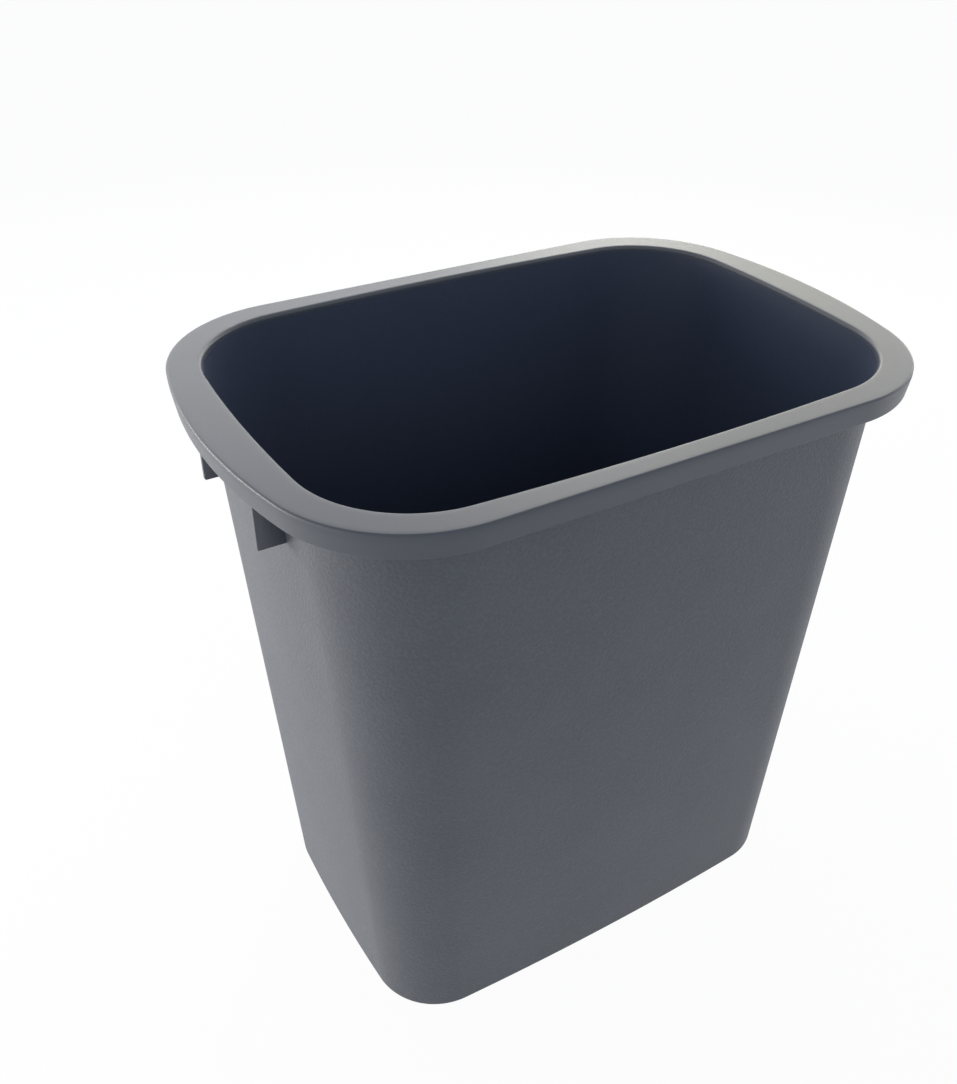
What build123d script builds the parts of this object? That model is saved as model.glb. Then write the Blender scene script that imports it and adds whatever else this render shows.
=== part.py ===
"""Rectangular deskside wastebasket, built as the functional sections of its moulding.

The basket is a tapered shell with a wide turned-down rim that widens into a grip at each end,
two stacking lugs under each grip, a floor pan and a foot ring. Millimetres; +X runs along the
long side, +Z is up, and the origin is the centre of the footprint on the floor.
"""

from build123d import *
import os
from collections import namedtuple
from math import sqrt

# An outline is a rectangle whose sides swell outwards by a bow and whose corners are arcs.
# Length and width are measured at the middle of the sides. A side that looks straight has a
# bow of a fraction of a millimetre.
Outline = namedtuple("Outline", "length width corner end_bow side_bow")

# Driving dimensions
HEIGHT = 381.0
WALL = 2.0

MOUTH = Outline(length=350.8, width=243.2, corner=63.2, end_bow=9.0, side_bow=7.4)  # wall, at the top
BASE = Outline(length=301.6, width=202.6, corner=42.0, end_bow=4.6, side_bow=4.9)  # wall, at the floor

GRIP_REACH = 20.6  # how far the rim stands out from the wall in the middle of the ends
FLANGE_REACH = 12.4  # and in the middle of the long sides
RIM_CORNER_GAIN = 13.8
RIM_END_BOW = 28.5
RIM_SIDE_BOW = 0.1

FLANGE_THICKNESS = 3.2
RIM_EDGE_RADIUS = 1.4
MOUTH_EDGE_RADIUS = 2.2
EDGE_LAND = 0.2  # least height of upright face left below a rounded edge of the flange
SKIRT_THICKNESS = 2.2
SKIRT_DROP = 13.4
SKIRT_LEAN = 1.5  # how far the skirt's foot is drawn in towards the wall
SKIRT_EDGE_RADIUS = 0.5

LUG_THICKNESS = 2.5
LUG_SPACING = 74.8
LUG_DEPTH = 47.0
LUG_SETBACK = 10.0
LUG_EDGE_RADIUS = 0.6

FLOOR_THICKNESS = 2.4
FLOOR_COVE_RADIUS = 7.0
FOOT_HEIGHT = 3.0
FOOT_WIDTH = 4.5
FOOT_EDGE_RADIUS = 1.2
GATE_RADIUS = 4.0
GATE_PROUD = 0.8

TOUCH = 0.001  # two places closer than this are the same place

# Sizes that follow from them
RIM = Outline(
    length=MOUTH.length + 2 * GRIP_REACH,
    width=MOUTH.width + 2 * FLANGE_REACH,
    corner=MOUTH.corner + RIM_CORNER_GAIN,
    end_bow=RIM_END_BOW,
    side_bow=RIM_SIDE_BOW,
)
MAX_EDGE_RADIUS = FLANGE_THICKNESS - EDGE_LAND
FLOOR_TOP = FOOT_HEIGHT + FLOOR_THICKNESS
PAN_TOP = FLOOR_TOP + FLOOR_COVE_RADIUS
FLANGE_UNDERSIDE = HEIGHT - FLANGE_THICKNESS
SKIRT_FOOT = HEIGHT - SKIRT_DROP
LUG_FOOT = HEIGHT - LUG_DEPTH


def bow_radius(chord, bow):
    """Radius of the arc that rises by bow over chord."""
    return (chord**2 / 4 + bow**2) / (2 * bow)


def inner_tangent_centre(first, first_reach, second, second_reach):
    """Point in the first quadrant at the given distances from two centres."""
    apart = second - first
    along = (first_reach**2 - second_reach**2 + apart.length**2) / (2 * apart.length)
    across = sqrt(first_reach**2 - along**2)
    direction = apart.normalized()
    return first + direction * along + Vector(-direction.Y, direction.X) * across


def face(shape, z, inset=0.0):
    """Flat face of the outline at height z, its edge moved inwards by inset."""
    end_radius = bow_radius(shape.width, shape.end_bow)
    side_radius = bow_radius(shape.length, shape.side_bow)
    end_centre = Vector(shape.length / 2 - end_radius, 0)
    side_centre = Vector(0, shape.width / 2 - side_radius)
    corner_centre = inner_tangent_centre(
        end_centre, end_radius - shape.corner, side_centre, side_radius - shape.corner
    )

    end_middle = Vector(shape.length / 2 - inset, 0)
    end_stop = end_centre + (corner_centre - end_centre).normalized() * (end_radius - inset)
    side_middle = Vector(0, shape.width / 2 - inset)
    side_stop = side_centre + (corner_centre - side_centre).normalized() * (side_radius - inset)
    towards_corner = ((end_stop + side_stop) / 2 - corner_centre).normalized()
    corner_middle = corner_centre + towards_corner * (shape.corner - inset)

    def across(point):
        """The same point on the other end of the basket."""
        return Vector(-point.X, point.Y)

    half = [
        ThreePointArc(Vector(end_stop.X, -end_stop.Y), end_middle, end_stop),
        ThreePointArc(end_stop, corner_middle, side_stop),
        ThreePointArc(side_stop, side_middle, across(side_stop)),
        ThreePointArc(across(side_stop), across(corner_middle), across(end_stop)),
    ]
    other_half = [Rot(0, 0, 180) * edge for edge in half]
    return Pos(0, 0, z) * Face(Wire(half + other_half))


def tapered(inset):
    """Solid bounded by the wall's surface, moved inwards by inset, from the floor to the top."""
    return loft([face(BASE, 0, inset), face(MOUTH, HEIGHT, inset)], ruled=True)


def between(low, high):
    """Slab that is larger than the basket, from one height to another."""
    return Pos(0, 0, (low + high) / 2) * Box(2 * RIM.length, 2 * RIM.width, high - low)


def prism(shape, low, high, inset=0.0):
    """Upright solid of the outline."""
    return extrude(face(shape, low, inset), high - low)


def rim_of(solid, z):
    """Edges of a solid that lie wholly at height z."""
    return solid.edges().filter_by_position(Axis.Z, z - TOUCH, z + TOUCH)


def shared_edges(edges, others):
    """Those edges whose centre is also the centre of one of the others."""
    return [e for e in edges if any((e.center() - o.center()).length < TOUCH for o in others)]


def make_foot_ring():
    """Ring that the basket stands on, rounded where it meets the outside of the wall."""
    body = tapered(0) & between(0, FOOT_HEIGHT)
    ring = body - tapered(FOOT_WIDTH)
    return fillet(shared_edges(rim_of(ring, 0), rim_of(body, 0)), FOOT_EDGE_RADIUS)


def make_floor_pan():
    """Floor with its coved, turned-up edge, and the small gate disc under its middle."""
    cavity = tapered(WALL) & between(FLOOR_TOP, HEIGHT)
    cavity = fillet(rim_of(cavity, FLOOR_TOP), FLOOR_COVE_RADIUS)
    pan = (tapered(0) & between(FOOT_HEIGHT, PAN_TOP)) - cavity
    gate = Pos(0, 0, FOOT_HEIGHT - GATE_PROUD / 2) * Cylinder(GATE_RADIUS, GATE_PROUD)
    return pan + gate


def make_wall_shell():
    """Tapered wall, from the floor pan up to the rim."""
    return (tapered(0) - tapered(WALL)) & between(PAN_TOP, FLANGE_UNDERSIDE)


def make_rim_flange():
    """Flat top of the rim, rounded at its outer edge and where it rolls into the mouth."""
    plate = prism(RIM, FLANGE_UNDERSIDE, HEIGHT)
    plate = fillet(rim_of(plate, HEIGHT), min(RIM_EDGE_RADIUS, MAX_EDGE_RADIUS))
    flange = plate - tapered(WALL)
    mouth = shared_edges(rim_of(flange, HEIGHT), rim_of(tapered(WALL), HEIGHT))
    return fillet(mouth, min(MOUTH_EDGE_RADIUS, MAX_EDGE_RADIUS))


def leaning_lip(inset):
    """Solid bounded by the skirt's surface, moved inwards by inset."""
    foot = face(RIM, SKIRT_FOOT, inset + SKIRT_LEAN)
    return loft([foot, face(RIM, FLANGE_UNDERSIDE, inset)], ruled=True)


def make_rim_skirt():
    """Lip that hangs from the flange's edge."""
    skirt = leaning_lip(0) - leaning_lip(SKIRT_THICKNESS)
    return fillet(rim_of(skirt, SKIRT_FOOT), SKIRT_EDGE_RADIUS)


def make_stacking_lug(x_sign, y_sign):
    """Plate under the grip that stops nested baskets from jamming."""
    reach = RIM.length / 2 - LUG_SETBACK
    height = FLANGE_UNDERSIDE - LUG_FOOT
    plate = Pos(reach / 2, 0, LUG_FOOT + height / 2) * Box(reach, LUG_THICKNESS, height)
    tip = plate.edges().filter_by(Axis.Y).sort_by(lambda edge: edge.center().X - edge.center().Z)[-1]
    plate = fillet(tip, LUG_EDGE_RADIUS)
    if x_sign < 0:
        plate = mirror(plate, Plane.YZ)
    return Pos(0, y_sign * LUG_SPACING / 2, 0) * plate - tapered(0)


def main():
    parts = {
        "foot_ring": make_foot_ring(),
        "floor_pan": make_floor_pan(),
        "wall_shell": make_wall_shell(),
        "rim_flange": make_rim_flange(),
        "rim_skirt": make_rim_skirt(),
    }
    for end, x_sign in (("left", -1), ("right", 1)):
        for side, y_sign in (("front", -1), ("back", 1)):
            parts[f"stacking_lug_{end}_{side}"] = make_stacking_lug(x_sign, y_sign)
    os.makedirs("parts", exist_ok=True)
    for name, shape in parts.items():
        export_step(shape, f"parts/{name}.step")
        print(name, round(shape.volume), shape.bounding_box().size)


main()
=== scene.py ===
"""A tapered rectangular wastebasket: one moulding of slate grey polypropylene."""

import math

import bmesh
import bpy
from mathutils import Matrix, Vector


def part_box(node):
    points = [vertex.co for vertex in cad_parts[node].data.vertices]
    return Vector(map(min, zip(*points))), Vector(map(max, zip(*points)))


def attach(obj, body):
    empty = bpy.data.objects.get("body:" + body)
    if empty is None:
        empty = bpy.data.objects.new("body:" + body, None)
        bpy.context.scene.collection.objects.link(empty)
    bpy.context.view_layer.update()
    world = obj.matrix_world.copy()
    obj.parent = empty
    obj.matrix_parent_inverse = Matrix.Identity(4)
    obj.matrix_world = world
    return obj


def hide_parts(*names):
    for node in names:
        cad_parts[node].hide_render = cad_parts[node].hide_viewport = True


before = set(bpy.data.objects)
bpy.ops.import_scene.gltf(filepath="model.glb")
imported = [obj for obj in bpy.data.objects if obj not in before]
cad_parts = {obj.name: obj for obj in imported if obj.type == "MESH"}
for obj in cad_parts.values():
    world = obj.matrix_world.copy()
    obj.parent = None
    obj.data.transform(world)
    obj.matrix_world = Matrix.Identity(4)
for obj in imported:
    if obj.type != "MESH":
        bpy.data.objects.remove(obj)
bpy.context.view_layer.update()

MM = 0.001

# Each outline's corner radius, and how far its ends and its long sides bow out
RIM_CORNER, RIM_END_BOW, RIM_SIDE_BOW = 77.0 * MM, 28.5 * MM, 0.1 * MM
MOUTH_CORNER, MOUTH_END_BOW, MOUTH_SIDE_BOW = 63.2 * MM, 9.0 * MM, 7.4 * MM
BASE_CORNER, BASE_END_BOW, BASE_SIDE_BOW = 42.0 * MM, 4.6 * MM, 4.9 * MM

# Thicknesses and edges
WALL = 2.0 * MM
MOUTH_ROLL = 2.2 * MM
RIM_ROLL = 1.4 * MM
SKIRT = 2.2 * MM
SKIRT_LEAN = 1.5 * MM
SKIRT_EDGE = 0.5 * MM
SKIRT_ROOT = 1.0 * MM
FLOOR_COVE = 7.0 * MM
FOOT_WIDTH = 4.5 * MM
FOOT_EDGE = 1.2 * MM
GATE_RADIUS = 4.0 * MM
GATE_EDGE = 0.3 * MM
GATE_SINK = 0.2 * MM  # how far the gate reaches up into the floor
LUG_EDGE = 0.35 * MM
LUG_CORNER = 0.6 * MM

# How finely the moulding is drawn: steps round a quarter of it, and steps along its sections
END_STEPS, CORNER_STEPS, SIDE_STEPS = 10, 24, 14
WALL_STEPS = 16
FLOOR_EDGE_STEPS = 3
FLOOR_RINGS = 10
FLANGE_STEPS = 6
SKIRT_STEPS = 4
WIDE_ARC_STEPS = 8
FOOT_ARC_STEPS = 6
SMALL_ARC_STEPS = 4
GATE_SIDES = 48
SHARP_ANGLE = math.radians(40)
MERGE_DISTANCE = 0.001 * MM

# Corners and levels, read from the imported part
FOOT_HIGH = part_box("foot_ring")[1]
FOOT_TOP = FOOT_HIGH.z
PAN_LOW, PAN_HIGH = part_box("floor_pan")
FLOOR_TOP = PAN_HIGH.z - FLOOR_COVE
WALL_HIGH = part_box("wall_shell")[1]
RIM_LOW, RIM_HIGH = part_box("rim_flange")
SKIRT_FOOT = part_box("rim_skirt")[0].z
LUG_LOW, LUG_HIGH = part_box("stacking_lug_right_back")
HEIGHT = RIM_HIGH.z


# ---------------------------------------------------------------- nodes and objects


# Where a Mix node keeps its two inputs and its result, when it mixes vectors and colours
VECTOR_A, VECTOR_B, VECTOR_RESULT = 4, 5, 1
COLOUR_A, COLOUR_B, COLOUR_RESULT = 6, 7, 2


def add(tree, kind, links=None, **settings):
    """A node with its settings, each input linked to a node or socket or set to a value."""
    node = tree.nodes.new(kind)
    for name, value in settings.items():
        setattr(node, name, value)
    for key, value in (links or {}).items():
        if isinstance(value, bpy.types.Node):
            value = value.outputs[0]
        if isinstance(value, bpy.types.NodeSocket):
            tree.links.new(value, node.inputs[key])
        else:
            node.inputs[key].default_value = value
    return node


def srgb(code):
    """A colour written as sRGB hex, as the linear values that a shader takes."""
    parts = [int(code[i : i + 2], 16) / 255 for i in (1, 3, 5)]
    return [c / 12.92 if c <= 0.04045 else ((c + 0.055) / 1.055) ** 2.4 for c in parts] + [1.0]


def new_object(name, data):
    """A mesh, lamp or camera as an object in the scene."""
    made = bpy.data.objects.new(name, data)
    bpy.context.scene.collection.objects.link(made)
    return made


def mesh_from(name, shape):
    """The mesh of a finished bmesh."""
    mesh = bpy.data.meshes.new(name)
    shape.to_mesh(mesh)
    shape.free()
    return mesh


# ---------------------------------------------------------------- outlines


def outline(length, width, corner, end_bow, side_bow):
    """The arcs of a rectangle with bowed sides: centres, radii and the turns where they meet."""
    end_radius = (width**2 / 4 + end_bow**2) / (2 * end_bow)
    side_radius = (length**2 / 4 + side_bow**2) / (2 * side_bow)
    end_centre = Vector((length / 2 - end_radius, 0, 0))
    side_centre = Vector((0, width / 2 - side_radius, 0))
    apart = side_centre - end_centre
    first, second = end_radius - corner, side_radius - corner
    along = (first**2 - second**2 + apart.length_squared) / (2 * apart.length)
    across = math.sqrt(first**2 - along**2)
    direction = apart.normalized()
    corner_centre = end_centre + direction * along + Vector((-direction.y, direction.x, 0)) * across
    from_end, from_side = corner_centre - end_centre, corner_centre - side_centre
    return {
        "End Centre": end_centre,
        "Corner Centre": corner_centre,
        "Side Centre": side_centre,
        "End Radius": end_radius,
        "Corner Radius": corner,
        "Side Radius": side_radius,
        "End Turn": math.atan2(from_end.y, from_end.x),
        "Corner Turn": math.atan2(from_side.y, from_side.x),
    }


def wall_extent(z):
    """Length and width of the tapered outside at a height, from the tops of its foot and wall."""
    low, high = FOOT_HIGH, WALL_HIGH
    share = (z - low.z) / (high.z - low.z)
    return 2 * (low.x + (high.x - low.x) * share), 2 * (low.y + (high.y - low.y) * share)


BASE = outline(*wall_extent(0), BASE_CORNER, BASE_END_BOW, BASE_SIDE_BOW)
MOUTH = outline(*wall_extent(HEIGHT), MOUTH_CORNER, MOUTH_END_BOW, MOUTH_SIDE_BOW)
RIM = outline(2 * RIM_HIGH.x, 2 * RIM_HIGH.y, RIM_CORNER, RIM_END_BOW, RIM_SIDE_BOW)

OUTLINE_SOCKETS = {
    "End Centre": "NodeSocketVector",
    "Corner Centre": "NodeSocketVector",
    "Side Centre": "NodeSocketVector",
    "End Radius": "NodeSocketFloat",
    "Corner Radius": "NodeSocketFloat",
    "Side Radius": "NodeSocketFloat",
    "End Turn": "NodeSocketFloat",
    "Corner Turn": "NodeSocketFloat",
}


def outline_point_tree():
    """Point of a quarter outline: along its end arc, then its corner, then its side."""
    tree = bpy.data.node_groups.new("outline_point", "GeometryNodeTree")
    for name in ("Along End", "Along Corner", "Along Side", "Inset"):
        tree.interface.new_socket(name, in_out="INPUT", socket_type="NodeSocketFloat")
    for name, kind in OUTLINE_SOCKETS.items():
        tree.interface.new_socket(name, in_out="INPUT", socket_type=kind)
    tree.interface.new_socket("Point", in_out="OUTPUT", socket_type="NodeSocketVector")
    given = add(tree, "NodeGroupInput").outputs

    end_part = add(
        tree, "ShaderNodeMath", {0: given["Along End"], 1: given["End Turn"]}, operation="MULTIPLY"
    )
    corner_turn = add(
        tree, "ShaderNodeMath", {0: given["Corner Turn"], 1: given["End Turn"]}, operation="SUBTRACT"
    )
    corner_part = add(
        tree,
        "ShaderNodeMath",
        {0: given["Along Corner"], 1: corner_turn, 2: end_part},
        operation="MULTIPLY_ADD",
    )
    side_turn = add(
        tree, "ShaderNodeMath", {0: math.pi / 2, 1: given["Corner Turn"]}, operation="SUBTRACT"
    )
    turn = add(
        tree,
        "ShaderNodeMath",
        {0: given["Along Side"], 1: side_turn, 2: corner_part},
        operation="MULTIPLY_ADD",
    )
    cosine = add(tree, "ShaderNodeMath", {0: turn}, operation="COSINE")
    sine = add(tree, "ShaderNodeMath", {0: turn}, operation="SINE")
    outwards = add(tree, "ShaderNodeCombineXYZ", {0: cosine, 1: sine})

    past_end = add(tree, "ShaderNodeMath", {0: given["Along Corner"], 1: 0.0}, operation="GREATER_THAN")
    past_corner = add(tree, "ShaderNodeMath", {0: given["Along Side"], 1: 0.0}, operation="GREATER_THAN")
    radius = add(
        tree,
        "GeometryNodeSwitch",
        {"Switch": past_end, "False": given["End Radius"], "True": given["Corner Radius"]},
        input_type="FLOAT",
    )
    radius = add(
        tree,
        "GeometryNodeSwitch",
        {"Switch": past_corner, "False": radius, "True": given["Side Radius"]},
        input_type="FLOAT",
    )
    centre = add(
        tree,
        "GeometryNodeSwitch",
        {"Switch": past_end, "False": given["End Centre"], "True": given["Corner Centre"]},
        input_type="VECTOR",
    )
    centre = add(
        tree,
        "GeometryNodeSwitch",
        {"Switch": past_corner, "False": centre, "True": given["Side Centre"]},
        input_type="VECTOR",
    )
    reach = add(tree, "ShaderNodeMath", {0: radius, 1: given["Inset"]}, operation="SUBTRACT")
    offset = add(tree, "ShaderNodeVectorMath", {0: outwards, "Scale": reach}, operation="SCALE")
    point = add(tree, "ShaderNodeVectorMath", {0: centre, 1: offset}, operation="ADD")
    add(tree, "NodeGroupOutput", {"Point": point})
    return tree


def swept_section_tree(outline_point):
    """Sweeps a section round the basket, between a low outline and a high one.

    The section is a row of points that hold inset, share of the high outline, and height. Two
    attributes go with them: gather scales a ring about the middle, and inside marks the inner face.
    """
    tree = bpy.data.node_groups.new("swept_section", "GeometryNodeTree")
    tree.interface.new_socket("Section", in_out="INPUT", socket_type="NodeSocketGeometry")
    for name in ("End Steps", "Corner Steps", "Side Steps"):
        tree.interface.new_socket(name, in_out="INPUT", socket_type="NodeSocketInt")
    for level in ("Low", "High"):
        for name, kind in OUTLINE_SOCKETS.items():
            tree.interface.new_socket(f"{level} {name}", in_out="INPUT", socket_type=kind)
    tree.interface.new_socket("Outer Finish", in_out="INPUT", socket_type="NodeSocketMaterial")
    tree.interface.new_socket("Inner Finish", in_out="INPUT", socket_type="NodeSocketMaterial")
    tree.interface.new_socket("Mesh", in_out="OUTPUT", socket_type="NodeSocketGeometry")
    given = add(tree, "NodeGroupInput").outputs

    # A grid with one row for each point of the section and four quarters of steps along a row
    to_corner = add(
        tree, "ShaderNodeMath", {0: given["End Steps"], 1: given["Corner Steps"]}, operation="ADD"
    )
    quarter = add(tree, "ShaderNodeMath", {0: to_corner, 1: given["Side Steps"]}, operation="ADD")
    half = add(tree, "ShaderNodeMath", {0: quarter, 1: 2.0}, operation="MULTIPLY")
    columns = add(tree, "ShaderNodeMath", {0: quarter, 1: 4.0, 2: 1.0}, operation="MULTIPLY_ADD")
    rows = add(tree, "GeometryNodeAttributeDomainSize", {0: given["Section"]}, component="MESH")
    grid = add(
        tree,
        "GeometryNodeMeshGrid",
        {"Vertices X": rows.outputs["Point Count"], "Vertices Y": columns},
    )
    index = add(tree, "GeometryNodeInputIndex")
    row = add(tree, "ShaderNodeMath", {0: index, 1: columns}, operation="DIVIDE")
    row = add(tree, "ShaderNodeMath", {0: row}, operation="FLOOR")
    column = add(tree, "ShaderNodeMath", {0: index, 1: columns}, operation="MODULO")

    # What the section says at this row
    here = add(
        tree,
        "GeometryNodeSampleIndex",
        {"Geometry": given["Section"], "Value": add(tree, "GeometryNodeInputPosition"), "Index": row},
        data_type="FLOAT_VECTOR",
    )
    here = add(tree, "ShaderNodeSeparateXYZ", {0: here}).outputs
    marks = {}
    for name in ("gather", "inside"):
        mark = add(tree, "GeometryNodeInputNamedAttribute", {"Name": name}, data_type="FLOAT")
        marks[name] = add(
            tree,
            "GeometryNodeSampleIndex",
            {"Geometry": given["Section"], "Value": mark, "Index": row},
            data_type="FLOAT",
        )

    # Steps run forwards and back, quarter by quarter, and the signs put each in its place
    step = add(tree, "ShaderNodeMath", {0: column, 1: quarter}, operation="PINGPONG")
    along = {}
    for name, start, stop in (
        ("End", 0.0, given["End Steps"]),
        ("Corner", given["End Steps"], to_corner),
        ("Side", to_corner, quarter),
    ):
        along[name] = add(
            tree, "ShaderNodeMapRange", {"Value": step, "From Min": start, "From Max": stop}
        )
    from_back = add(tree, "ShaderNodeMath", {0: column, 1: half}, operation="SUBTRACT")
    from_back = add(tree, "ShaderNodeMath", {0: from_back}, operation="ABSOLUTE")
    right_side = add(tree, "ShaderNodeMath", {0: from_back, 1: quarter}, operation="SUBTRACT")
    right_side = add(tree, "ShaderNodeMath", {0: right_side}, operation="SIGN")
    back_side = add(tree, "ShaderNodeMath", {0: half, 1: column}, operation="SUBTRACT")
    back_side = add(tree, "ShaderNodeMath", {0: back_side}, operation="SIGN")

    points = {}
    for level in ("Low", "High"):
        steps = {f"Along {name}": node for name, node in along.items()}
        sizes = {name: given[f"{level} {name}"] for name in OUTLINE_SOCKETS}
        wanted = {"Inset": here["X"]} | steps | sizes
        points[level] = add(tree, "GeometryNodeGroup", wanted, node_tree=outline_point)
    flat = add(
        tree,
        "ShaderNodeMix",
        {"Factor": here["Y"], VECTOR_A: points["Low"], VECTOR_B: points["High"]},
        data_type="VECTOR",
        clamp_factor=False,
    )
    flat = add(
        tree,
        "ShaderNodeVectorMath",
        {0: flat.outputs[VECTOR_RESULT], "Scale": marks["gather"]},
        operation="SCALE",
    )
    flat = add(tree, "ShaderNodeSeparateXYZ", {0: flat}).outputs
    x = add(tree, "ShaderNodeMath", {0: flat["X"], 1: right_side}, operation="MULTIPLY")
    y = add(tree, "ShaderNodeMath", {0: flat["Y"], 1: back_side}, operation="MULTIPLY")
    place = add(tree, "ShaderNodeCombineXYZ", {0: x, 1: y, 2: here["Z"]})

    # A face is inside when all its corners are: where one side isn't, their mean is a half
    inner = add(tree, "GeometryNodeCaptureAttribute", {0: grid})
    inner.capture_items.new("FLOAT", "inside")
    tree.links.new(marks["inside"].outputs[0], inner.inputs[1])
    mesh = add(tree, "GeometryNodeSetPosition", {"Geometry": inner, "Position": place})
    mesh = add(tree, "GeometryNodeSetMaterial", {"Geometry": mesh, "Material": given["Outer Finish"]})
    is_inner = add(tree, "ShaderNodeMath", {0: inner.outputs[1], 1: 0.75}, operation="GREATER_THAN")
    mesh = add(
        tree,
        "GeometryNodeSetMaterial",
        {"Geometry": mesh, "Selection": is_inner, "Material": given["Inner Finish"]},
    )
    mesh = add(tree, "GeometryNodeMergeByDistance", {"Geometry": mesh, "Distance": MERGE_DISTANCE})
    mesh = add(tree, "GeometryNodeSetShadeSmooth", {"Geometry": mesh})
    add(tree, "NodeGroupOutput", {"Mesh": mesh})
    return tree


def run_tree(name, start, tree, values):
    """Runs a tree on a start mesh, and returns the result as a plain mesh object."""
    source = new_object(name + "_start", start)
    modifier = source.modifiers.new("making", "NODES")
    modifier.node_group = tree
    sockets = {item.name: item.identifier for item in tree.interface.items_tree if item.in_out == "INPUT"}
    for key, value in values.items():
        modifier[sockets[key]] = value
    graph = bpy.context.evaluated_depsgraph_get()
    mesh = bpy.data.meshes.new_from_object(source.evaluated_get(graph), depsgraph=graph)
    bpy.data.objects.remove(source)
    mesh.name = name
    mesh.set_sharp_from_angle(angle=SHARP_ANGLE)
    return new_object(name, mesh)


# ---------------------------------------------------------------- sections


def point(inset, share, z, gather=1.0, inside=0.0):
    """One point of a section: its inset, its share of the high outline, and its height."""
    return {"place": (inset, share, z), "gather": gather, "inside": inside}


def arc(centre, radius, start, stop, steps):
    """Inset and height along an arc, by angle in degrees from the inward horizontal."""
    for i in range(steps + 1):
        angle = math.radians(start + (stop - start) * i / steps)
        yield centre[0] + radius * math.cos(angle), centre[1] + radius * math.sin(angle)


def section_mesh(name, points):
    """The mesh that a section's points are handed over in, closed back to its first point."""
    points = points + points[:1]
    mesh = bpy.data.meshes.new(name)
    mesh.from_pydata([p["place"] for p in points], [], [])
    for mark in ("gather", "inside"):
        attribute = mesh.attributes.new(mark, "FLOAT", "POINT")
        attribute.data.foreach_set("value", [p[mark] for p in points])
    return mesh


def levels(low, high, steps):
    """Evenly spaced heights, both ends included."""
    return [low + (high - low) * i / steps for i in range(steps + 1)]


def wall_section():
    """Up the outside, and down the inside."""
    heights = levels(PAN_HIGH.z, WALL_HIGH.z, WALL_STEPS)
    outside = [point(0, z / HEIGHT, z) for z in heights]
    inside = [point(WALL, z / HEIGHT, z, inside=1.0) for z in reversed(heights)]
    return outside + inside


def floor_section():
    """Up the outside, down the cove, in across the floor to its middle, and out underneath."""
    outside = [point(0, z / HEIGHT, z) for z in levels(FOOT_TOP, PAN_HIGH.z, FLOOR_EDGE_STEPS)]
    cove_centre = (WALL + FLOOR_COVE, FLOOR_TOP + FLOOR_COVE)
    cove_arc = arc(cove_centre, FLOOR_COVE, 180, 270, WIDE_ARC_STEPS)
    cove = [point(i, z / HEIGHT, z, inside=1.0) for i, z in cove_arc]
    rings = [1 - i / FLOOR_RINGS for i in range(1, FLOOR_RINGS + 1)]
    share = FLOOR_TOP / HEIGHT
    top = [point(WALL + FLOOR_COVE, share, FLOOR_TOP, gather=g, inside=1.0) for g in rings]
    share = FOOT_TOP / HEIGHT
    under = [point(FOOT_WIDTH, share, FOOT_TOP, gather=g) for g in reversed(rings)]
    return outside + cove + top + under + [point(FOOT_WIDTH, share, FOOT_TOP)]


def foot_section():
    """Round the outer bottom edge, up the outside, in under the floor, and down the inner side."""
    edge_arc = arc((FOOT_EDGE, FOOT_EDGE), FOOT_EDGE, 270, 180, FOOT_ARC_STEPS)
    edge = [point(i, z / HEIGHT, z) for i, z in edge_arc]
    top = [point(0, FOOT_TOP / HEIGHT, FOOT_TOP), point(FOOT_WIDTH, FOOT_TOP / HEIGHT, FOOT_TOP)]
    return edge + top + [point(FOOT_WIDTH, 0, 0)]


def lean(z):
    """How far the skirt is drawn in at a height."""
    return SKIRT_LEAN * (RIM_LOW.z - z) / (RIM_LOW.z - SKIRT_FOOT)


def rim_section():
    """Over the mouth's roll, across the top, down the skirt, up behind it, and back to the wall."""
    under = RIM_LOW.z
    mouth_centre = (WALL - MOUTH_ROLL, HEIGHT - MOUTH_ROLL)
    mouth = [point(i, 0, z) for i, z in arc(mouth_centre, MOUTH_ROLL, 0, 90, WIDE_ARC_STEPS)]
    top = []
    for i in range(1, FLANGE_STEPS):
        share = i / FLANGE_STEPS
        inset = (WALL - MOUTH_ROLL) * (1 - share) + RIM_ROLL * share
        top.append(point(inset, share, HEIGHT))
    edge_centre = (RIM_ROLL, HEIGHT - RIM_ROLL)
    edge = [point(i, 1, z) for i, z in arc(edge_centre, RIM_ROLL, 90, 180, WIDE_ARC_STEPS)]
    foot_z = SKIRT_FOOT + SKIRT_EDGE
    side = [point(lean(z), 1, z) for z in levels(under, foot_z, SKIRT_STEPS)]
    outer = (SKIRT_LEAN + SKIRT_EDGE, foot_z)
    outer_foot = [point(i, 1, z) for i, z in arc(outer, SKIRT_EDGE, 180, 270, SMALL_ARC_STEPS)]
    inner = (SKIRT_LEAN + SKIRT - SKIRT_EDGE, foot_z)
    inner_foot = [point(i, 1, z) for i, z in arc(inner, SKIRT_EDGE, 270, 360, SMALL_ARC_STEPS)]
    root_centre = (SKIRT + SKIRT_ROOT, under - SKIRT_ROOT)
    root = [point(i, 1, z) for i, z in arc(root_centre, SKIRT_ROOT, 180, 90, SMALL_ARC_STEPS)]
    halfway = point(SKIRT + SKIRT_ROOT, 0.5, under)
    wall_top = [point(0, 0, under), point(WALL, 0, under)]
    return mouth + top + edge + side + outer_foot + inner_foot + root + [halfway] + wall_top


# ---------------------------------------------------------------- materials


POLYPROPYLENE_IOR = 1.49
ROUGHNESS_SPREAD = 0.05  # how far the roughness strays, up and down
GRIT_SIZE = 0.8  # grit, as a share of the grain
FLOW = 60.0 * MM  # size of the patches in which the melt cooled alike


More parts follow.
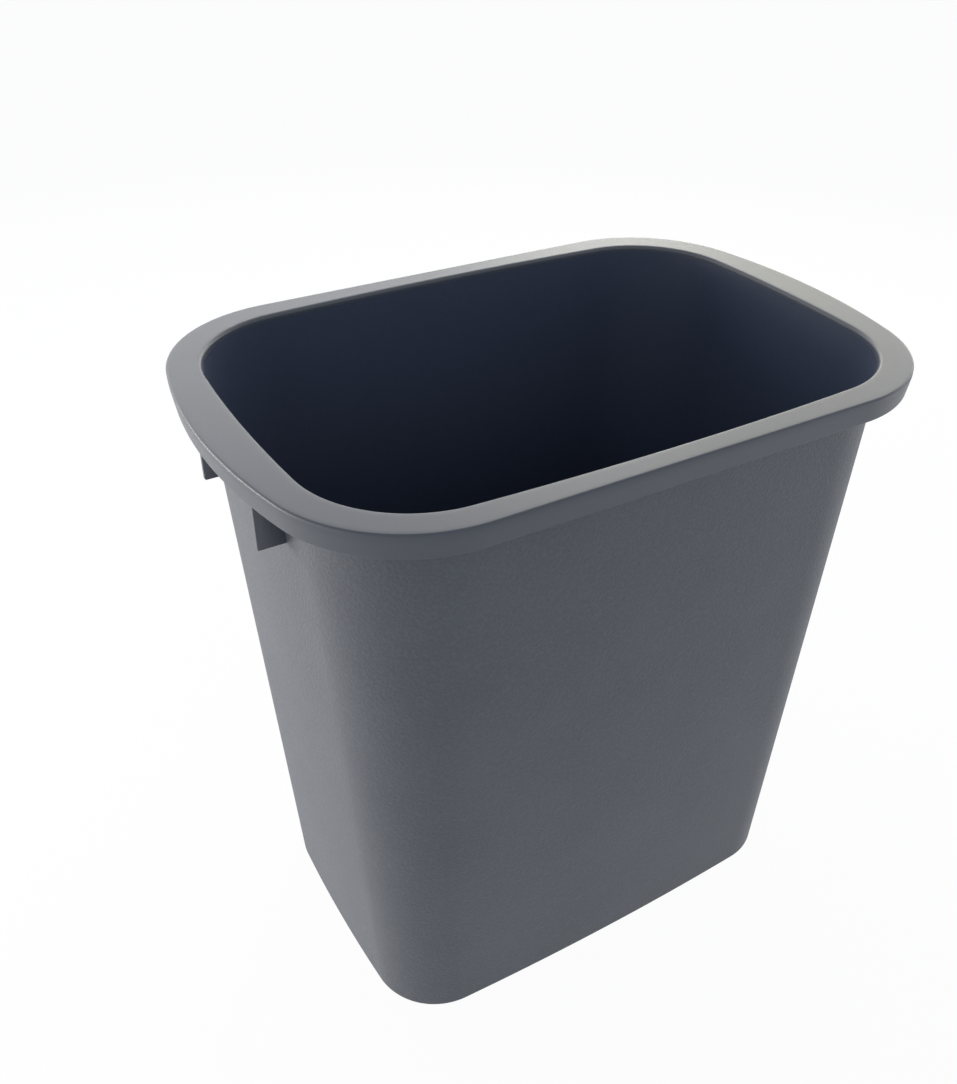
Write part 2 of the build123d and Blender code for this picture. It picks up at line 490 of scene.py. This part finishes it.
def plastic(name, shades, roughness, grain, grain_height, bump):
    """Moulded plastic between a dark and a pale shade, with the mould's surface pressed into it."""
    material = bpy.data.materials.new(name)
    material.use_nodes = True
    tree = material.node_tree
    shader = tree.nodes["Principled BSDF"]
    place = add(tree, "ShaderNodeTexCoord").outputs["Object"]

    # Grain: rounded pips of uneven size, with finer grit between them
    pips = add(
        tree,
        "ShaderNodeTexVoronoi",
        {"Vector": place, "Scale": 1 / grain, "Randomness": 1.0, "Smoothness": 0.6},
        feature="SMOOTH_F1",
    )
    grit = add(
        tree,
        "ShaderNodeTexNoise",
        {"Vector": place, "Scale": 1 / (grain * GRIT_SIZE), "Detail": 3.0, "Roughness": 0.6},
    )
    relief = add(
        tree, "ShaderNodeMath", {0: pips.outputs["Distance"], 1: grit.outputs["Fac"]}, operation="ADD"
    )

    # The colour wanders a little where the melt cooled at different rates, and it is darker where the
    # grain's relief is low, in its pits, which is painted shade. It is the dark shade where relief and
    # flow add up to 1.0 or less, and the pale one from 1.8
    flow = add(
        tree,
        "ShaderNodeTexNoise",
        {"Vector": place, "Scale": 1 / FLOW, "Detail": 3.0, "Roughness": 0.5},
    )
    tone_and_pit_shade = add(tree, "ShaderNodeMath", {0: relief, 1: flow.outputs["Fac"]}, operation="ADD")
    shade = add(tree, "ShaderNodeMapRange", {"Value": tone_and_pit_shade, "From Min": 1.0, "From Max": 1.8})
    tint = add(
        tree,
        "ShaderNodeMix",
        {"Factor": shade, COLOUR_A: srgb(shades[0]), COLOUR_B: srgb(shades[1])},
        data_type="RGBA",
    )
    tree.links.new(tint.outputs[COLOUR_RESULT], shader.inputs["Base Color"])
    normal = add(
        tree, "ShaderNodeBump", {"Height": relief, "Strength": bump, "Distance": grain_height}
    )
    tree.links.new(normal.outputs[0], shader.inputs["Normal"])
    spread = add(
        tree,
        "ShaderNodeMapRange",
        {
            "Value": grit.outputs["Fac"],
            "From Min": 0.3,
            "From Max": 0.7,
            "To Min": roughness - ROUGHNESS_SPREAD,
            "To Max": roughness + ROUGHNESS_SPREAD,
        },
    )
    tree.links.new(spread.outputs[0], shader.inputs["Roughness"])
    shader.inputs["IOR"].default_value = POLYPROPYLENE_IOR
    return material


# Slate grey polypropylene. The outside of the wall was moulded against an etched steel face, which
# gives the eye a fine matt speckle; the rim against a vapour-blasted one, which is even and satin;
# and the inside over a polished core, which is smooth. The real plastic is one colour, but the
# inside is drawn darker and bluer: painted shade, standing for the deep shade inside the basket.
# The etched grain is drawn coarser and deeper than a real etch, so that it shows.
SLATE = ("#50545c", "#53575f")
GRAINED_SLATE = ("#4b4f57", "#575b63")
# The inside's colour: the slate made darker and bluer with painted shade
PAINTED_SHADE_SLATE = ("#464d5e", "#495061")
GRAINED = plastic(
    "grained_polypropylene", GRAINED_SLATE, roughness=0.50, grain=1.6 * MM, grain_height=0.20 * MM, bump=1.0
)
SATIN = plastic(
    "satin_polypropylene", SLATE, roughness=0.42, grain=0.7 * MM, grain_height=0.03 * MM, bump=0.25
)
# The inside's finish: smooth, in the slate with painted shade
SMOOTH_SHADED = plastic(
    "smooth_polypropylene_painted_shade", PAINTED_SHADE_SLATE, roughness=0.40, grain=3.0 * MM, grain_height=0.02 * MM, bump=0.15
)


# ---------------------------------------------------------------- pieces


def level_inputs(low, high):
    """The sizes of both outlines, by the names that the tree gives its inputs."""
    values = {f"Low {name}": value for name, value in low.items()}
    values.update({f"High {name}": value for name, value in high.items()})
    return values


def swept_piece(name, points, low, high, outer, inner, nodes):
    """One part of the moulding, swept round the basket."""
    values = {"End Steps": END_STEPS, "Corner Steps": CORNER_STEPS, "Side Steps": SIDE_STEPS}
    values.update({"Outer Finish": outer, "Inner Finish": inner})
    values.update(level_inputs(low, high))
    piece = run_tree(name, section_mesh(name + "_section", points), SWEPT_SECTION, values)
    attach(piece, "root")
    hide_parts(*nodes)


def lug_mesh():
    """One stacking lug, seen along Y: it hangs from the flange and backs onto the wall."""
    at_top, at_foot = wall_extent(LUG_HIGH.z)[0] / 2, wall_extent(LUG_LOW.z)[0] / 2
    into_wall = WALL / 2  # so that no gap shows between the lug and the tapered wall
    corners = [
        (at_foot - into_wall, LUG_LOW.z),
        (LUG_HIGH.x - LUG_CORNER, LUG_LOW.z),
        (LUG_HIGH.x, LUG_LOW.z + LUG_CORNER),
        (LUG_HIGH.x, LUG_HIGH.z),
        (at_top - into_wall, LUG_HIGH.z),
    ]
    thickness = LUG_HIGH.y - LUG_LOW.y
    shape = bmesh.new()
    face = shape.faces.new([shape.verts.new((x, -thickness / 2, z)) for x, z in corners])
    grown = bmesh.ops.extrude_face_region(shape, geom=[face])["geom"]
    moved = [item for item in grown if isinstance(item, bmesh.types.BMVert)]
    bmesh.ops.translate(shape, verts=moved, vec=(0, thickness, 0))
    bmesh.ops.recalc_face_normals(shape, faces=shape.faces)
    bmesh.ops.bevel(
        shape, geom=list(shape.edges), offset=LUG_EDGE, segments=2, profile=0.5, affect="EDGES"
    )
    return mesh_from("lug", shape)


def lug_tree():
    """Puts a pair of lugs under each grip."""
    tree = bpy.data.node_groups.new("lug_pairs", "GeometryNodeTree")
    tree.interface.new_socket("Lug", in_out="INPUT", socket_type="NodeSocketGeometry")
    tree.interface.new_socket("Spacing", in_out="INPUT", socket_type="NodeSocketFloat")
    tree.interface.new_socket("Ends", in_out="INPUT", socket_type="NodeSocketInt")
    tree.interface.new_socket("Finish", in_out="INPUT", socket_type="NodeSocketMaterial")
    tree.interface.new_socket("Mesh", in_out="OUTPUT", socket_type="NodeSocketGeometry")
    given = add(tree, "NodeGroupInput").outputs
    half = add(tree, "ShaderNodeMath", {0: given["Spacing"], 1: -0.5}, operation="MULTIPLY")
    first = add(tree, "ShaderNodeCombineXYZ", {1: half})
    step = add(tree, "ShaderNodeCombineXYZ", {1: given["Spacing"]})
    pair = add(
        tree,
        "GeometryNodeMeshLine",
        {"Count": 2, "Start Location": first, "Offset": step},
        mode="OFFSET",
        count_mode="TOTAL",
    )
    pair = add(tree, "GeometryNodeInstanceOnPoints", {"Points": pair, "Instance": given["Lug"]})
    ends = add(tree, "GeometryNodeMeshLine", {"Count": given["Ends"], "Offset": (0, 0, 0)}, mode="OFFSET")
    index = add(tree, "GeometryNodeInputIndex")
    angle = add(tree, "ShaderNodeMath", {0: index, 1: math.pi}, operation="MULTIPLY")
    turn = add(tree, "ShaderNodeCombineXYZ", {2: angle})
    both = add(
        tree, "GeometryNodeInstanceOnPoints", {"Points": ends, "Instance": pair, "Rotation": turn}
    )
    mesh = add(tree, "GeometryNodeRealizeInstances", {0: both})
    mesh = add(tree, "GeometryNodeSetMaterial", {"Geometry": mesh, "Material": given["Finish"]})
    add(tree, "NodeGroupOutput", {"Mesh": mesh})
    return tree


def make_lugs():
    """The four stacking lugs."""
    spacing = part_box("stacking_lug_right_back")[0].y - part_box("stacking_lug_right_front")[0].y
    values = {"Spacing": spacing, "Ends": 2, "Finish": SATIN}
    lugs = run_tree("stacking_lugs", lug_mesh(), lug_tree(), values)
    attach(lugs, "root")
    ends = [f"stacking_lug_{end}_{side}" for end in ("left", "right") for side in ("front", "back")]
    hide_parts(*ends)


def make_gate():
    """The round stub under the floor where the plastic was let in."""
    top = FOOT_TOP + GATE_SINK
    bottom = PAN_LOW.z
    shape = bmesh.new()
    bmesh.ops.create_cone(
        shape,
        cap_ends=True,
        segments=GATE_SIDES,
        radius1=GATE_RADIUS,
        radius2=GATE_RADIUS,
        depth=top - bottom,
    )
    bmesh.ops.translate(shape, verts=shape.verts, vec=(0, 0, (top + bottom) / 2))
    rim = [edge for edge in shape.edges if all(v.co.z < FOOT_TOP for v in edge.verts)]
    bmesh.ops.bevel(shape, geom=rim, offset=GATE_EDGE, segments=3, profile=0.5, affect="EDGES")
    mesh = mesh_from("floor_gate", shape)
    mesh.shade_smooth()
    mesh.set_sharp_from_angle(angle=SHARP_ANGLE)
    mesh.materials.append(SATIN)
    gate = new_object("floor_gate", mesh)
    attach(gate, "root")


SWEPT_SECTION = swept_section_tree(outline_point_tree())
swept_piece("wall", wall_section(), BASE, MOUTH, GRAINED, SMOOTH_SHADED, ["wall_shell"])
swept_piece("floor", floor_section(), BASE, MOUTH, GRAINED, SMOOTH_SHADED, ["floor_pan"])
swept_piece("foot", foot_section(), BASE, MOUTH, GRAINED, GRAINED, ["foot_ring"])
swept_piece("rim", rim_section(), MOUTH, RIM, SATIN, SATIN, ["rim_flange", "rim_skirt"])
make_lugs()
make_gate()


# ---------------------------------------------------------------- studio


# The camera: the angles that it looks from and its roll, in degrees, then its place and its lens
CAMERA_AZIMUTH, CAMERA_ELEVATION, CAMERA_ROLL = -32.80, 34.02, 1.54
CAMERA_TARGET = Vector((-63.59, -80.80, 326.04)) * MM
CAMERA_DISTANCE = 566.13 * MM
LENS, SENSOR_WIDTH = 37.6, 36.0
LENS_SHIFT = (-0.0418, -0.0052)

FLOOR_REACH = 6.0
FLOOR_DROP = 0.2 * MM  # keeps the floor clear of the foot's flat underside
FLOOR_GLOW = 0.96  # share of the floor that is plain white to the camera; the rest shows shadow

# The room's colour by height, from 0 at the horizon to 1 straight above: dim at the horizon and
# below it, pale and cool at a slant, and dark overhead
ROOM = ((0.0, "#46494f"), (0.42, "#d9e5f6"), (0.92, "#2c333d"))

# Each lamp's place, the point it aims at, its width and height, its strength and its colour
MOUTH_MIDDLE = (0, 0, 0.38)
SOFTBOXES = {
    "left": ((-1.1, 0.1, 0.33), (-0.16, 0, 0.3), 1.2, 0.4, 1.0, "#fff7ee"),
    "back_left": ((-0.8, 0.5, 0.34), (-0.17, 0.03, 0.32), 0.6, 0.2, 2.6, "#fff7ee"),
    "back_middle": ((-0.55, 1.35, 0.75), MOUTH_MIDDLE, 1.0, 0.7, 0.7, "#ffffff"),
    "back": ((0.45, 1.3, 0.98), MOUTH_MIDDLE, 1.3, 0.6, 1.0, "#ffffff"),
    "back_right": ((1.1, 1.0, 0.75), MOUTH_MIDDLE, 0.9, 0.5, 0.55, "#fffce9"),
    "high_right": ((0.9, 0.9, 1.15), MOUTH_MIDDLE, 0.8, 0.5, 0.3, "#fffce9"),
    "far_right": ((1.3, 0.2, 0.7), MOUTH_MIDDLE, 0.8, 0.4, 0.6, "#ffffff"),
    "right": ((0.75, -0.4, 0.25), (0.15, -0.1, 0.2), 0.4, 0.4, 0.35, "#ffffff"),
}


def make_camera():
    """Looks down into the basket from its front left corner."""
    azimuth, elevation = math.radians(CAMERA_AZIMUTH), math.radians(CAMERA_ELEVATION)
    roll = math.radians(CAMERA_ROLL)
    back = Vector(
        (
            math.sin(azimuth) * math.cos(elevation),
            -math.cos(azimuth) * math.cos(elevation),
            math.sin(elevation),
        )
    )
    right = Vector((0, 0, 1)).cross(back).normalized()
    up = back.cross(right)
    tilted_right = right * math.cos(roll) + up * math.sin(roll)
    tilted_up = up * math.cos(roll) - right * math.sin(roll)
    place = CAMERA_TARGET + back * CAMERA_DISTANCE
    data = bpy.data.cameras.new("camera")
    data.lens = LENS
    data.sensor_width = SENSOR_WIDTH
    data.shift_x, data.shift_y = LENS_SHIFT
    camera = new_object("camera", data)
    axes = Matrix((tilted_right, tilted_up, back)).transposed()
    camera.matrix_world = Matrix.Translation(place) @ axes.to_4x4()
    bpy.context.scene.camera = camera


def make_softbox(name, place, aim, width, height, strength, colour):
    """A soft rectangular lamp; its strength is the light that reaches its aim, however far off."""
    away = Vector(place) - Vector(aim)
    data = bpy.data.lights.new(name, "AREA")
    data.shape = "RECTANGLE"
    data.size, data.size_y = width, height
    data.energy = strength * math.pi * away.length**2
    data.color = srgb(colour)[:3]
    lamp = new_object(name, data)
    lamp.location = place
    lamp.rotation_euler = away.to_track_quat("Z", "Y").to_euler()


def seen_share(tree):
    """1 for a ray that looks at a surface, directly, mirrored or through glass, and otherwise 0."""
    path = add(tree, "ShaderNodeLightPath").outputs
    seen = add(
        tree, "ShaderNodeMath", {0: path["Is Camera Ray"], 1: path["Is Glossy Ray"]}, operation="MAXIMUM"
    )
    return add(tree, "ShaderNodeMath", {0: seen, 1: path["Is Transmission Ray"]}, operation="MAXIMUM")


def make_floor():
    """A white floor that shows the basket's soft shadow."""
    shape = bmesh.new()
    bmesh.ops.create_grid(shape, x_segments=1, y_segments=1, size=FLOOR_REACH)
    bmesh.ops.translate(shape, verts=shape.verts, vec=(0, 0, -FLOOR_DROP))
    mesh = mesh_from("studio_floor", shape)
    material = bpy.data.materials.new("white_studio_sweep")
    material.use_nodes = True
    tree = material.node_tree
    tree.nodes.clear()
    paper = add(tree, "ShaderNodeBsdfDiffuse", {"Color": srgb("#e8e8e8")})
    glow = add(tree, "ShaderNodeEmission", {"Color": srgb("#ffffff"), "Strength": 1.0})
    share = add(tree, "ShaderNodeMath", {0: seen_share(tree), 1: FLOOR_GLOW}, operation="MULTIPLY")
    mixed = add(tree, "ShaderNodeMixShader", {0: share, 1: paper, 2: glow})
    add(tree, "ShaderNodeOutputMaterial", {"Surface": mixed})
    mesh.materials.append(material)
    new_object("studio_floor", mesh)


def make_world():
    """A tinted room that lights the basket, and plain white where it is looked at or mirrored."""
    world = bpy.data.worlds.new("studio")
    world.use_nodes = True
    tree = world.node_tree
    tree.nodes.clear()
    towards = add(tree, "ShaderNodeTexCoord").outputs["Generated"]
    height = add(tree, "ShaderNodeSeparateXYZ", {0: towards}).outputs["Z"]
    colour = srgb(ROOM[0][1])
    for (low, _), (high, shade) in zip(ROOM, ROOM[1:]):
        share = add(tree, "ShaderNodeMapRange", {"Value": height, "From Min": low, "From Max": high})
        mix = add(
            tree,
            "ShaderNodeMix",
            {"Factor": share, COLOUR_A: colour, COLOUR_B: srgb(shade)},
            data_type="RGBA",
        )
        colour = mix.outputs[COLOUR_RESULT]
    room = add(tree, "ShaderNodeBackground", {"Color": colour, "Strength": 1.0})
    white = add(tree, "ShaderNodeBackground", {"Color": srgb("#ffffff"), "Strength": 1.0})
    mixed = add(tree, "ShaderNodeMixShader", {0: seen_share(tree), 1: room, 2: white})
    add(tree, "ShaderNodeOutputWorld", {"Surface": mixed})
    bpy.context.scene.world = world


make_camera()
make_world()
make_floor()
for name, softbox in SOFTBOXES.items():
    make_softbox(name + "_softbox", *softbox)
bpy.context.scene.view_settings.view_transform = "Standard"
